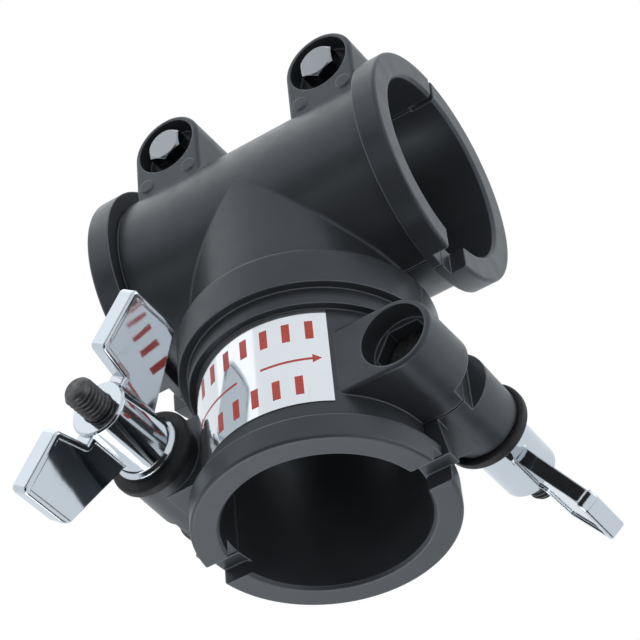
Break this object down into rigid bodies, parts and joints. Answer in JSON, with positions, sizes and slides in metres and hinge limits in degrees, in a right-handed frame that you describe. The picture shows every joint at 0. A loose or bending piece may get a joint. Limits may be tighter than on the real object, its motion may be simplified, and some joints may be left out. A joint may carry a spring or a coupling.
{
  "type": "tube clamp tee fitting",
  "caption": "Split tee clamp in black moulded plastic that grips a round tube through its run and a second one in its leg, with hex bolts above and wing nuts on the leg.",
  "frame": {"origin": "crossing of the axes of the run bore and the leg bore", "axes": "+X along the run bore, to the side whose leg ear has the counterbore at the front; -Z along the leg bore to its open end; +Y along the bolts, to the rear half"},
  "size_m": [0.08, 0.079, 0.1024],
  "materials": {
    "shell": "dark satin, fine moulded grain",
    "bolt_chrome": "plated, bright",
    "leg_bolt_steel": "dark, lightly oiled",
    "washer_black": "satin black",
    "wing_nut_chrome": "polished plating",
    "label": "glossy metallised film with red print"
  },
  "bodies": {
    "root": {"front_half": "shell", "rear_half": "shell", "label_strip": "label", "left_run_bolt": "bolt_chrome", "left_run_nut": "bolt_chrome", "left_run_head_washer": "bolt_chrome", "left_run_nut_washer": "bolt_chrome", "left_leg_bolt": "leg_bolt_steel", "right_run_bolt": "bolt_chrome", "right_run_nut": "bolt_chrome", "right_run_head_washer": "bolt_chrome", "right_run_nut_washer": "bolt_chrome", "right_leg_bolt": "leg_bolt_steel"},
    "left_wing_washer_body": {"left_wing_washer": "washer_black"},
    "left_wing_nut_body": {"left_wing_nut": "wing_nut_chrome"},
    "right_wing_washer_body": {"right_wing_washer": "washer_black"},
    "right_wing_nut_body": {"right_wing_nut": "wing_nut_chrome"}
  },
  "joints": [
    {"name": "left_nut_travel", "type": "slide", "parent": "root", "child": "left_wing_washer_body", "axis": [0, -1, 0], "range_m": [0, 0.008]},
    {"name": "left_nut_turn", "type": "hinge", "parent": "left_wing_washer_body", "child": "left_wing_nut_body", "pos_m": [-0.026, -0.01705, -0.0509], "axis": [0, -1, 0], "range_deg": [0, 2880]},
    {"name": "right_nut_travel", "type": "slide", "parent": "root", "child": "right_wing_washer_body", "axis": [0, 1, 0], "range_m": [0, 0.008]},
    {"name": "right_nut_turn", "type": "hinge", "parent": "right_wing_washer_body", "child": "right_wing_nut_body", "pos_m": [0.026, 0.01705, -0.0509], "axis": [0, 1, 0], "range_deg": [0, 2880]}
  ],
  "couplings": [
    {"joint": "left_nut_travel", "follows": "left_nut_turn", "m_per_rad": 0.00015915},
    {"joint": "right_nut_travel", "follows": "right_nut_turn", "m_per_rad": 0.00015915}
  ]
}
